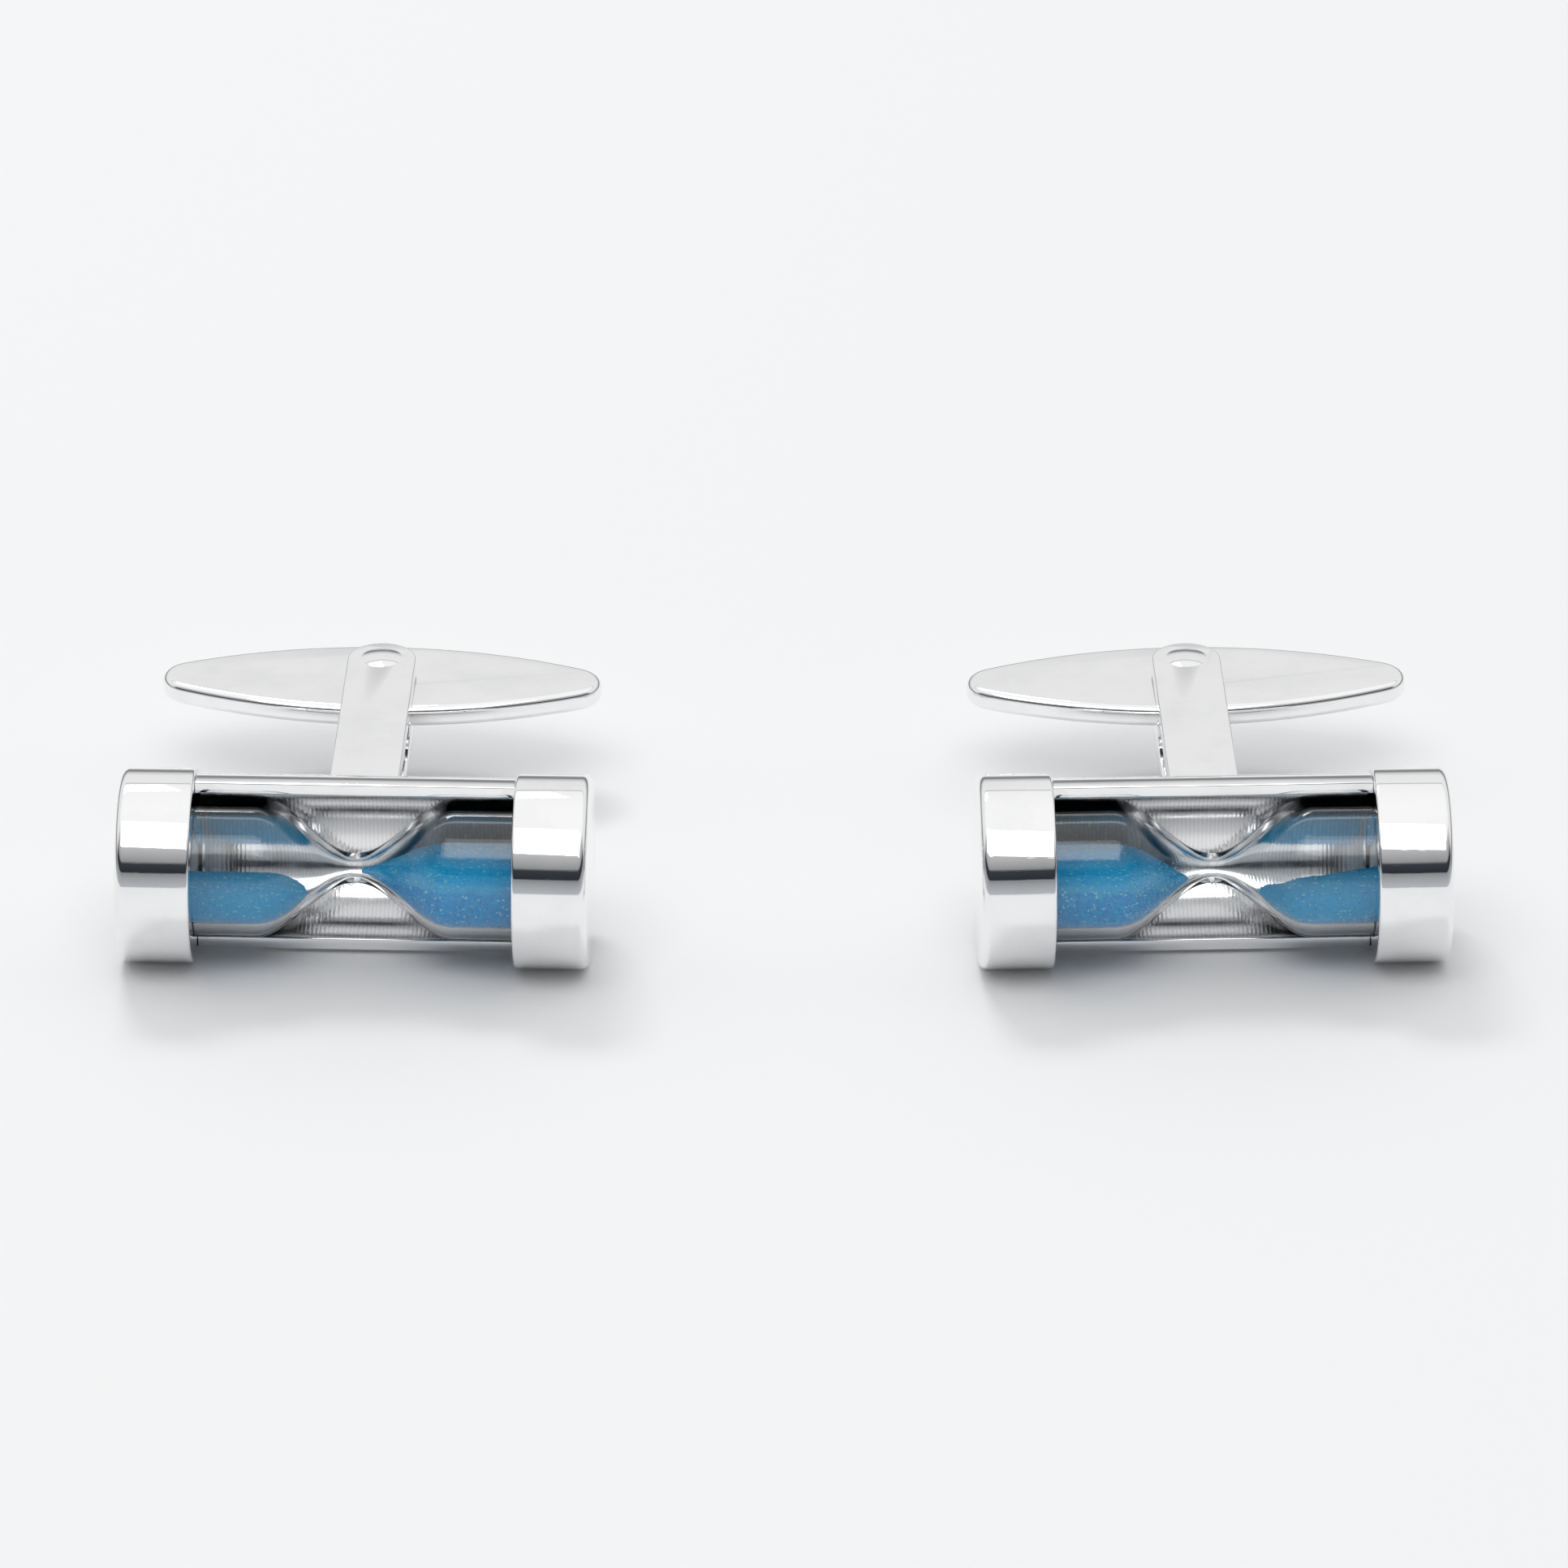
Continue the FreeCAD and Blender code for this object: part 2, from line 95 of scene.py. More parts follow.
PLACES = {side: cufflink_place(side) for side in SIDES}
LEFT = PLACES["left"]
CAP_LOW, CAP_HIGH = local_box("left_inner_cap", LEFT)
_, CRADLE_HIGH = local_box("left_cradle", LEFT)
_, VIAL_HIGH = local_box("left_vial", LEFT)
PLUG_LOW, PLUG_HIGH = local_box("left_inner_plug", LEFT)
_, POST_HIGH = local_box("left_post", LEFT)
_, PIN_HIGH = local_box("left_pivot_pin", LEFT)
TOGGLE_LOW, TOGGLE_HIGH = local_box("left_toggle", LEFT)

# Sizes that a box gives.
CAP_RADIUS = CAP_HIGH.z
WINDOW_HALF = CAP_LOW.x
CASE_HALF = CAP_HIGH.x
CRADLE_RADIUS = CRADLE_HIGH.z
VIAL_RADIUS = VIAL_HIGH.z
VIAL_HALF = VIAL_HIGH.x
PLUG_FACE = PLUG_LOW.x
SEAT_END = PLUG_HIGH.x
PIVOT_Y = (TOGGLE_LOW.y + TOGGLE_HIGH.y) / 2
ARM_HALF = POST_HIGH.x
POST_HALF = POST_HIGH.z
TOGGLE_HALF = TOGGLE_HIGH.x
TOGGLE_HALF_WIDTH = TOGGLE_HIGH.y - PIVOT_Y

# Sizes that no box gives.
CAP_EDGE = 0.35 * MM
CAP_LIP = 0.12 * MM
CAP_SEAT_GAP = 0.03 * MM
TROUGH_RADIUS = 3.2 * MM
TROUGH_RIM = 0.06 * MM
GLASS_WALL = 0.5 * MM
CHAMBER_RADIUS = VIAL_RADIUS - GLASS_WALL
NECK_RADIUS = 0.6 * MM
NECK_BORE = 0.25 * MM
NECK_REACH = 4.0 * MM
FILLING_START = 0.2 * MM
SAND_GAP = 0.07 * MM
DUST_GAP = 0.05 * MM
SAND_VOXEL = 0.06 * MM
SAND_LUMP = 0.14 * MM
SAND_RELIEF = 0.06 * MM
SAND_GRAIN = 0.045 * MM
DUST_GRAIN = 0.035 * MM
SAND_GRAINS_PER_MM2 = 22
DUST_GRAINS_PER_MM2 = 26
SLOT_HALF = 0.6 * MM
SLOT_ROOT = 6.8 * MM
POST_EDGE = 0.16 * MM
POST_BORE = 0.61 * MM
PIN_RADIUS = 0.6 * MM
PIN_HEAD_RADIUS = 0.85 * MM
TOGGLE_BORE = 0.63 * MM
TOGGLE_END = 1.3 * MM
TOGGLE_EDGE = 0.3 * MM
WELD_DISTANCE = 0.002 * MM


# ---- modelling helpers ----

def deselect():
    if bpy.context.object and bpy.context.object.mode != "OBJECT":
        bpy.ops.object.mode_set(mode="OBJECT")
    bpy.ops.object.select_all(action="DESELECT")


def trace(name, points, closed=True):
    """A chain of edges drawn through the points, one extrusion after another."""
    deselect()
    bpy.ops.mesh.primitive_plane_add(size=MM, location=points[0])
    piece = bpy.context.object
    piece.name = name
    bpy.ops.object.mode_set(mode="EDIT")
    bpy.ops.mesh.select_all(action="SELECT")
    bpy.ops.mesh.merge(type="CENTER")
    for start, end in zip(points, points[1:]):
        step = Vector(end) - Vector(start)
        bpy.ops.mesh.extrude_region_move(TRANSFORM_OT_translate={"value": step})
    if closed:
        bpy.ops.mesh.select_all(action="SELECT")
        bpy.ops.mesh.edge_face_add()
    return piece


def round_corner(centre, radius, start, end, steps):
    """Points of an arc about a centre in a plane, angles in degrees."""
    points = []
    for step in range(steps + 1):
        angle = math.radians(start + (end - start) * step / steps)
        points.append((centre[0] + radius * math.cos(angle), centre[1] + radius * math.sin(angle)))
    return points


def tidy_mesh(piece):
    """Weld the seam and turn all faces outwards."""
    bpy.ops.mesh.select_all(action="SELECT")
    bpy.ops.mesh.remove_doubles(threshold=WELD_DISTANCE)
    bpy.ops.mesh.normals_make_consistent(inside=False)
    bpy.ops.object.mode_set(mode="OBJECT")
    return piece


def lathe(name, profile, steps, angle=2 * math.pi, axis=(1, 0, 0), closed=False):
    """Turn a profile of (along, radius) points about the X or Z axis."""
    if axis[0]:
        points = [(along, 0, radius) for along, radius in profile]
    else:
        points = [(radius, 0, along) for along, radius in profile]
    if closed:
        points.append(points[0])
    piece = trace(name, points, closed=False)
    bpy.ops.mesh.select_all(action="SELECT")
    bpy.ops.mesh.spin(steps=steps, angle=angle, center=(0, 0, 0), axis=axis)
    return piece


def hand_over(piece, side, body, nodes, smooth=30):
    """Apply modifiers and transforms, set the mesh in its place, attach it to its body and hide the CAD nodes it
    stands for.
    """
    deselect()
    piece.select_set(True)
    bpy.context.view_layer.objects.active = piece
    for modifier in list(piece.modifiers):
        bpy.ops.object.modifier_apply(modifier=modifier.name)
    bpy.ops.object.transform_apply(location=True, rotation=True, scale=True)
    bpy.ops.object.shade_smooth_by_angle(angle=math.radians(smooth))
    piece.data.transform(PLACES[side])
    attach(piece, body)
    if nodes:
        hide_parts(*nodes)
    return piece


def cosine_neck(wide, narrow, reach, steps=28):
    """Half profile of the neck from its middle outwards: (along, radius) points."""
    points = []
    for step in range(steps + 1):
        along = reach * step / steps
        swell = (1 - math.cos(math.pi * along / reach)) / 2
        points.append((along, narrow + (wide - narrow) * swell))
    return points


def cut_with_box(piece, low, high):
    """Take a box away from a piece."""
    deselect()
    middle = [(a + b) / 2 for a, b in zip(low, high)]
    bpy.ops.mesh.primitive_cube_add(size=1, location=middle)
    cutter = bpy.context.object
    cutter.scale = [b - a for a, b in zip(low, high)]
    subtract(piece, cutter)


def cut_with_cylinder(piece, centre, radius, depth, turn=(0, 0, 0)):
    """Take a cylinder away from a piece."""
    deselect()
    bpy.ops.mesh.primitive_cylinder_add(
        vertices=192, radius=radius, depth=depth, location=centre, rotation=turn)
    subtract(piece, bpy.context.object)


def subtract(piece, cutter):
    deselect()
    piece.select_set(True)
    bpy.context.view_layer.objects.active = piece
    cut = piece.modifiers.new("cut", "BOOLEAN")
    cut.operation = "DIFFERENCE"
    cut.solver = "EXACT"
    cut.object = cutter
    bpy.ops.object.modifier_apply(modifier=cut.name)
    bpy.data.objects.remove(cutter)


def soften_edges(piece, width, segments=4, angle=35):
    bevel = piece.modifiers.new("soft_edges", "BEVEL")
    bevel.width = width
    bevel.segments = segments
    bevel.limit_method = "ANGLE"
    bevel.angle_limit = math.radians(angle)
    bevel.harden_normals = False


def extrude_up(piece, height):
    """Raise the filled outline that is selected into a solid."""
    bpy.ops.mesh.select_all(action="SELECT")
    bpy.ops.mesh.extrude_region_move(TRANSFORM_OT_translate={"value": (0, 0, height)})
    return tidy_mesh(piece)


# ---- the pieces ----

def make_cap(side, end_name, end):
    """Turned end cap: rounded outer rim, finer rim beside the window, blind seat for the glass."""
    seat = VIAL_RADIUS + CAP_SEAT_GAP
    lip = round_corner((WINDOW_HALF + CAP_LIP, CAP_RADIUS - CAP_LIP), CAP_LIP, 180, 90, 5)
    edge = round_corner((CASE_HALF - CAP_EDGE, CAP_RADIUS - CAP_EDGE), CAP_EDGE, 90, 0, 10)
    profile = [(SEAT_END, 0), (SEAT_END, seat), (WINDOW_HALF, seat), *lip, *edge, (CASE_HALF, 0)]
    profile = [(end * along, radius) for along, radius in profile]
    cap = lathe(f"{side}_{end_name}_end_cap", profile, steps=160)
    tidy_mesh(cap)
    hand_over(cap, side, f"{side}_case", [f"{side}_{end_name}_cap"])
    return cap


def make_cradle(side):
    """Half tube behind the glass, its long rims softened."""
    wall = [(-WINDOW_HALF, TROUGH_RADIUS), (-WINDOW_HALF, CRADLE_RADIUS),
            (WINDOW_HALF, CRADLE_RADIUS), (WINDOW_HALF, TROUGH_RADIUS)]
    cradle = trace(f"{side}_trough", [(along, 0, radius) for along, radius in wall])
    bpy.ops.mesh.select_all(action="SELECT")
    bpy.ops.mesh.spin(steps=96, angle=math.pi, center=(0, 0, 0), axis=(-1, 0, 0))
    tidy_mesh(cradle)
    if sum(vertex.co.y for vertex in cradle.data.vertices) < 0:
        cradle.scale = (1, -1, 1)
    soften_edges(cradle, TROUGH_RIM, segments=3)
    hand_over(cradle, side, f"{side}_case", [f"{side}_cradle"])
    return cradle


def paint_cradle(cradle, side, bored, polished):
    """Bored finish inside the half tube, polish on its rims and its back."""
    margin = 0.02 * MM
    cradle.data.materials.clear()
    cradle.data.materials.append(polished)
    cradle.data.materials.append(bored)
    to_local = PLACES[side].inverted()
    for face in cradle.data.polygons:
        centre = to_local @ face.center
        inside = math.hypot(centre.y, centre.z) < TROUGH_RADIUS + margin
        face.material_index = 1 if inside else 0


def make_vial(side):
    """Necked glass tube with its wall modelled inside and out."""
    outer = cosine_neck(VIAL_RADIUS, NECK_RADIUS, NECK_REACH)
    inner = cosine_neck(CHAMBER_RADIUS, NECK_BORE, NECK_REACH)
    outside = [(-along, radius) for along, radius in reversed(outer[1:])] + outer
    inside = [(along, radius) for along, radius in reversed(inner)]
    inside += [(-along, radius) for along, radius in inner[1:]]
    profile = [(-VIAL_HALF, VIAL_RADIUS), *outside, (VIAL_HALF, VIAL_RADIUS),
               (VIAL_HALF, CHAMBER_RADIUS), *inside, (-VIAL_HALF, CHAMBER_RADIUS)]
    vial = lathe(f"{side}_glass", profile, steps=128, closed=True)
    tidy_mesh(vial)
    hand_over(vial, side, f"{side}_case", [f"{side}_vial"], smooth=40)
    return vial


def make_grain_scatter():
    """Geometry nodes that strew angular grains over a surface."""
    tree = bpy.data.node_groups.new("strewn_grains", "GeometryNodeTree")
    for name, kind in (("Geometry", "NodeSocketGeometry"), ("Density", "NodeSocketFloat"),
                       ("Size", "NodeSocketFloat"), ("Keep Surface", "NodeSocketBool")):
        tree.interface.new_socket(name, in_out="INPUT", socket_type=kind)
    tree.interface.new_socket("Geometry", in_out="OUTPUT", socket_type="NodeSocketGeometry")
    nodes, links = tree.nodes, tree.links
    given, result = nodes.new("NodeGroupInput"), nodes.new("NodeGroupOutput")
    points = nodes.new("GeometryNodeDistributePointsOnFaces")
    points.inputs["Seed"].default_value = 7
    links.new(given.outputs["Geometry"], points.inputs["Mesh"])
    links.new(given.outputs["Density"], points.inputs["Density"])
    grain = nodes.new("GeometryNodeMeshIcoSphere")
    grain.inputs["Subdivisions"].default_value = 1
    links.new(given.outputs["Size"], grain.inputs["Radius"])
    strewn = nodes.new("GeometryNodeInstanceOnPoints")
    links.new(points.outputs["Points"], strewn.inputs["Points"])
    links.new(grain.outputs["Mesh"], strewn.inputs["Instance"])
    for socket, kind, low, high in (
            ("Scale", "FLOAT_VECTOR", (0.5, 0.5, 0.5), (1.25, 1.25, 1.25)),
            ("Rotation", "FLOAT_VECTOR", (0, 0, 0), (math.tau, math.tau, math.tau))):
        pick = nodes.new("FunctionNodeRandomValue")
        pick.data_type = kind
        pick.inputs[0].default_value = low
        pick.inputs[1].default_value = high
        pick.inputs["Seed"].default_value = len(nodes)
        links.new(pick.outputs[0], strewn.inputs[socket])
    real = nodes.new("GeometryNodeRealizeInstances")
    links.new(strewn.outputs["Instances"], real.inputs["Geometry"])
    both = nodes.new("GeometryNodeJoinGeometry")
    links.new(real.outputs["Geometry"], both.inputs["Geometry"])
    links.new(given.outputs["Geometry"], both.inputs["Geometry"])
    choice = nodes.new("GeometryNodeSwitch")
    choice.input_type = "GEOMETRY"
    links.new(given.outputs["Keep Surface"], choice.inputs["Switch"])
    links.new(real.outputs["Geometry"], choice.inputs["False"])
    links.new(both.outputs["Geometry"], choice.inputs["True"])
    links.new(choice.outputs["Output"], result.inputs["Geometry"])
    return tree


def strew_grains(piece, tree, per_square_mm, size, keep_surface=True):
    scatter = piece.modifiers.new("loose_grains", "NODES")
    scatter.node_group = tree
    values = {"Density": per_square_mm / MM ** 2, "Size": size, "Keep Surface": keep_surface}
    for socket in tree.interface.items_tree:
        if socket.in_out == "INPUT" and socket.name in values:
            scatter[socket.identifier] = values[socket.name]


def chamber_filling(name, end, gap):
    """Solid that fills one chamber of the glass, a small gap inside it."""
    neck = cosine_neck(CHAMBER_RADIUS - gap, NECK_BORE - min(gap, NECK_BORE / 2), NECK_REACH)
    neck = [(along, radius) for along, radius in neck if along >= FILLING_START]
    profile = [(FILLING_START, 0), *neck, (PLUG_FACE, CHAMBER_RADIUS - gap), (PLUG_FACE, 0)]
    filling = lathe(name, [(end * along, radius) for along, radius in profile], steps=96)
    return tidy_mesh(filling)


def make_sand(side, end_name, end, levels, grains):
    """Heap of sand in one chamber, cut off along its surface and strewn with loose grains."""
    sand = chamber_filling(f"{side}_{end_name}_sand_heap", end, SAND_GAP)
    above = trace(f"{side}_{end_name}_air", [
        (end * along, -VIAL_RADIUS, level) for along, level in levels] + [
        (end * VIAL_HALF, -VIAL_RADIUS, VIAL_RADIUS), (-end * VIAL_HALF, -VIAL_RADIUS, VIAL_RADIUS),
        (-end * VIAL_HALF, -VIAL_RADIUS, levels[0][1])])
    bpy.ops.mesh.select_all(action="SELECT")
    bpy.ops.mesh.extrude_region_move(TRANSFORM_OT_translate={"value": (0, 2 * VIAL_RADIUS, 0)})
    tidy_mesh(above)
    subtract(sand, above)
    remesh = sand.modifiers.new("grain_size", "REMESH")
    remesh.mode = "VOXEL"
    remesh.voxel_size = SAND_VOXEL
    texture = bpy.data.textures.new(f"{sand.name}_grain", "CLOUDS")
    texture.noise_scale = SAND_LUMP
    rough = sand.modifiers.new("grain", "DISPLACE")
    rough.texture = texture
    rough.strength = SAND_RELIEF
    rough.mid_level = 0.6
    strew_grains(sand, grains, SAND_GRAINS_PER_MM2, SAND_GRAIN)
    hand_over(sand, side, f"{side}_case", [f"{side}_{end_name}_sand"], smooth=50)
    return sand


def make_dust(side, end_name, end, low, high, grains):
    """Loose grains that cling to the front of the glass beside a heap's slope."""
    dust = chamber_filling(f"{side}_{end_name}_sand_dust", end, DUST_GAP)
    bpy.ops.object.mode_set(mode="EDIT")
    low = Vector((end * low[0], low[1], low[2]))
    high = Vector((end * high[0], high[1], high[2]))
    for corner, facing in ((low, -1), (high, 1)):
        for axis in range(3):
            outwards = [0, 0, 0]
            outwards[axis] = facing * (end if axis == 0 else 1)
            bpy.ops.mesh.select_all(action="SELECT")
            bpy.ops.mesh.bisect(plane_co=corner, plane_no=outwards, clear_outer=True)
    bpy.ops.object.mode_set(mode="OBJECT")
    strew_grains(dust, grains, DUST_GRAINS_PER_MM2, DUST_GRAIN, keep_surface=False)
    hand_over(dust, side, f"{side}_case", [], smooth=50)
    return dust


def make_post(side):
    """Forked post, its root hollowed to sit on the half tube."""
    root_y = CRADLE_RADIUS / 2
    tip = round_corner((0, PIVOT_Y), ARM_HALF, 0, 180, 32)
    outline = [(-ARM_HALF, root_y, -POST_HALF), (ARM_HALF, root_y, -POST_HALF)]
    outline += [(x, y, -POST_HALF) for x, y in tip]
    post = trace(f"{side}_forked_post", outline)
    extrude_up(post, 2 * POST_HALF)
    far = 2 * ARM_HALF
    cut_with_cylinder(post, (0, 0, 0), CRADLE_RADIUS, 2 * far, turn=(0, math.pi / 2, 0))
    cut_with_box(post, (-far, SLOT_ROOT, -SLOT_HALF), (far, PIVOT_Y + far, SLOT_HALF))
    cut_with_cylinder(post, (0, PIVOT_Y, 0), POST_BORE, 4 * POST_HALF)
    soften_edges(post, POST_EDGE)
    hand_over(post, side, f"{side}_case", [f"{side}_post"])
    return post


def make_pin(side):
    """Rivet with a low domed head on each arm."""
    rise = PIN_HIGH.z - POST_HALF
    dome_radius = (PIN_HEAD_RADIUS ** 2 + rise ** 2) / (2 * rise)
    spread = math.degrees(math.asin(PIN_HEAD_RADIUS / dome_radius))
    dome = round_corner((PIN_HIGH.z - dome_radius, 0), dome_radius, 0, spread, 8)
    upper = dome + [(POST_HALF, PIN_RADIUS)]
    profile = upper + [(-along, radius) for along, radius in reversed(upper)]
    pin = lathe(f"{side}_rivet", profile, steps=64, axis=(0, 0, 1))
    tidy_mesh(pin)
    pin.location.y += PIVOT_Y
    hand_over(pin, side, f"{side}_case", [f"{side}_pivot_pin"])
    return pin


def make_toggle(side):
    """Flat swivelling bar: long sides bowed and tangent to the round ends, all edges rounded."""
    centre = TOGGLE_HALF - TOGGLE_END
    bow = TOGGLE_HALF_WIDTH - TOGGLE_END
    offset = (centre ** 2 - bow ** 2) / (2 * bow)
    bow_radius = offset + TOGGLE_HALF_WIDTH
    turn = math.degrees(math.atan2(centre, offset))
    right_end = round_corner((centre, PIVOT_Y), TOGGLE_END, turn - 90, 90 - turn, 16)
    top = round_corner((0, PIVOT_Y - offset), bow_radius, 90 - turn, 90 + turn, 48)
    left_end = round_corner((-centre, PIVOT_Y), TOGGLE_END, 90 + turn, 270 - turn, 16)
    bottom = round_corner((0, PIVOT_Y + offset), bow_radius, 270 - turn, 270 + turn, 48)
    outline = right_end + top[1:] + left_end[1:] + bottom[1:-1]
    toggle = trace(f"{side}_toggle_bar_plate", [(x, y, TOGGLE_LOW.z) for x, y in outline])
    extrude_up(toggle, TOGGLE_HIGH.z - TOGGLE_LOW.z)
    cut_with_cylinder(toggle, (0, PIVOT_Y, 0), TOGGLE_BORE, 4 * POST_HALF)
    soften_edges(toggle, TOGGLE_EDGE, segments=6)
    hand_over(toggle, side, f"{side}_toggle_bar", [f"{side}_toggle"])
    return toggle


# ---- finishes ----

def new_material(name):
    material = bpy.data.materials.new(name)
    material.use_nodes = True
    return material, material.node_tree.nodes, material.node_tree.links


def shader_group(name, inputs, outputs):
    """An empty shader node group with named sockets: (name, kind, default) and (name, kind)."""
    group = bpy.data.node_groups.new(name, "ShaderNodeTree")
    for socket_name, kind, default in inputs:
        socket = group.interface.new_socket(socket_name, in_out="INPUT", socket_type=kind)
        socket.default_value = default
    for socket_name, kind in outputs:
        group.interface.new_socket(socket_name, in_out="OUTPUT", socket_type=kind)
    return group, group.nodes.new("NodeGroupInput"), group.nodes.new("NodeGroupOutput")


def wear_marks(nodes, wear, roughness, smudge):
    """Handling marks of one finish, from the shared group."""
    marks = nodes.new("ShaderNodeGroup")
    marks.node_tree = wear
    marks.inputs["Base Roughness"].default_value = roughness
    marks.inputs["Smudge"].default_value = smudge
    return marks


def blend_base_colour(nodes, links, factor, first, second):
    """Base colour that goes from the first colour to the second with the factor."""
    colour = nodes.new("ShaderNodeMix")
    colour.data_type = "RGBA"
    colour.inputs["A"].default_value = (*first, 1)
    colour.inputs["B"].default_value = (*second, 1)
    links.new(factor, colour.inputs["Factor"])
    links.new(colour.outputs["Result"], nodes["Principled BSDF"].inputs["Base Color"])


def raise_surface(nodes, links, height, strength, distance):
    """Fine relief on the surface."""
    bump = nodes.new("ShaderNodeBump")
    bump.inputs["Strength"].default_value = strength
    bump.inputs["Distance"].default_value = distance
    links.new(height, bump.inputs["Height"])
    links.new(bump.outputs["Normal"], nodes["Principled BSDF"].inputs["Normal"])


def make_plating_wear():
    """Handling marks on plated metal: hairlines and soft smudges, as a roughness and a height."""
    group, given, result = shader_group(
        "plating_wear",
        [("Base Roughness", "NodeSocketFloat", 0.04), ("Smudge", "NodeSocketFloat", 0.05),
         ("Scale", "NodeSocketFloat", 1.0)],
        [("Roughness", "NodeSocketFloat"), ("Height", "NodeSocketFloat"),
         ("Tint", "NodeSocketFloat")])
    nodes, links = group.nodes, group.links
    place = nodes.new("ShaderNodeTexCoord")
    sized = nodes.new("ShaderNodeVectorMath")
    sized.operation = "SCALE"
    links.new(place.outputs["Object"], sized.inputs[0])
    links.new(given.outputs["Scale"], sized.inputs["Scale"])
    smudge = nodes.new("ShaderNodeTexNoise")
    smudge.inputs["Scale"].default_value = 420
    smudge.inputs["Detail"].default_value = 5
    smudge.inputs["Roughness"].default_value = 0.6
    links.new(sized.outputs[0], smudge.inputs["Vector"])
    spread = nodes.new("ShaderNodeMapRange")
    spread.inputs["From Min"].default_value = 0.45
    spread.inputs["From Max"].default_value = 0.8
    links.new(smudge.outputs["Fac"], spread.inputs["Value"])
    stretch = nodes.new("ShaderNodeMapping")
    stretch.inputs["Rotation"].default_value = (0.4, 0.2, 0.7)
    stretch.inputs["Scale"].default_value = (1.0, 16.0, 16.0)
    links.new(sized.outputs[0], stretch.inputs["Vector"])
    hairline = nodes.new("ShaderNodeTexNoise")
    hairline.inputs["Scale"].default_value = 900
    hairline.inputs["Detail"].default_value = 2
    links.new(stretch.outputs["Vector"], hairline.inputs["Vector"])
    fine = nodes.new("ShaderNodeMapRange")
    fine.inputs["From Min"].default_value = 0.62
    fine.inputs["From Max"].default_value = 0.75
    links.new(hairline.outputs["Fac"], fine.inputs["Value"])
    dulled = nodes.new("ShaderNodeMath")
    dulled.operation = "MULTIPLY_ADD"
    links.new(spread.outputs["Result"], dulled.inputs[0])
    links.new(given.outputs["Smudge"], dulled.inputs[1])
    links.new(given.outputs["Base Roughness"], dulled.inputs[2])
    scored = nodes.new("ShaderNodeMath")
    scored.operation = "MULTIPLY_ADD"
    scored.inputs[1].default_value = 0.03
    links.new(fine.outputs["Result"], scored.inputs[0])
    links.new(dulled.outputs[0], scored.inputs[2])
    links.new(scored.outputs[0], result.inputs["Roughness"])
    links.new(fine.outputs["Result"], result.inputs["Height"])
    links.new(spread.outputs["Result"], result.inputs["Tint"])
    return group


def make_polished_plate(wear):
    """Bright rhodium-like plating, polished to a mirror."""
    material, nodes, links = new_material("polished_plating")
    shader = nodes["Principled BSDF"]
    shader.inputs["Metallic"].default_value = 1.0
    marks = wear_marks(nodes, wear, 0.025, 0.035)
    blend_base_colour(
        nodes, links, marks.outputs["Tint"], (0.94, 0.94, 0.942), (0.86, 0.865, 0.87))
    links.new(marks.outputs["Roughness"], shader.inputs["Roughness"])
    raise_surface(nodes, links, marks.outputs["Height"], strength=0.06, distance=0.004 * MM)
    return material


def make_milled_plate(wear, name, toe):
    """Plated trough with the fine rings that the boring tool left round it."""
    material, nodes, links = new_material(name)
    shader = nodes["Principled BSDF"]
    shader.inputs["Metallic"].default_value = 1.0
    place = nodes.new("ShaderNodeTexCoord")
    square = nodes.new("ShaderNodeMapping")
    square.vector_type = "POINT"
    square.inputs["Rotation"].default_value = (0, 0, -toe)
    links.new(place.outputs["Object"], square.inputs["Vector"])
    rings = nodes.new("ShaderNodeTexWave")
    rings.wave_type = "BANDS"
    rings.bands_direction = "X"
    rings.inputs["Scale"].default_value = 1900
    rings.inputs["Distortion"].default_value = 2.0
    rings.inputs["Detail"].default_value = 2
    rings.inputs["Detail Scale"].default_value = 3
    links.new(square.outputs["Vector"], rings.inputs["Vector"])
    marks = wear_marks(nodes, wear, 0.09, 0.12)
    blend_base_colour(
        nodes, links, rings.outputs["Fac"], (0.88, 0.88, 0.885), (0.78, 0.785, 0.79))
    links.new(marks.outputs["Roughness"], shader.inputs["Roughness"])
    raise_surface(nodes, links, rings.outputs["Fac"], strength=0.25, distance=0.006 * MM)
    return material


def make_clear_glass():
    """Flame-worked glass with the faintest drawn waviness."""
    material, nodes, links = new_material("clear_glass")
    shader = nodes["Principled BSDF"]
    shader.inputs["Base Color"].default_value = (0.985, 0.995, 1.0, 1)
    shader.inputs["Transmission Weight"].default_value = 1.0
    shader.inputs["Roughness"].default_value = 0.0
    shader.inputs["IOR"].default_value = 1.5
    place = nodes.new("ShaderNodeTexCoord")
    stretch = nodes.new("ShaderNodeMapping")
    stretch.inputs["Scale"].default_value = (1.0, 4.0, 4.0)
    links.new(place.outputs["Object"], stretch.inputs["Vector"])
    waves = nodes.new("ShaderNodeTexNoise")
    waves.inputs["Scale"].default_value = 260
    waves.inputs["Detail"].default_value = 1
    links.new(stretch.outputs["Vector"], waves.inputs["Vector"])
    raise_surface(nodes, links, waves.outputs["Fac"], strength=0.12, distance=0.02 * MM)
    return material


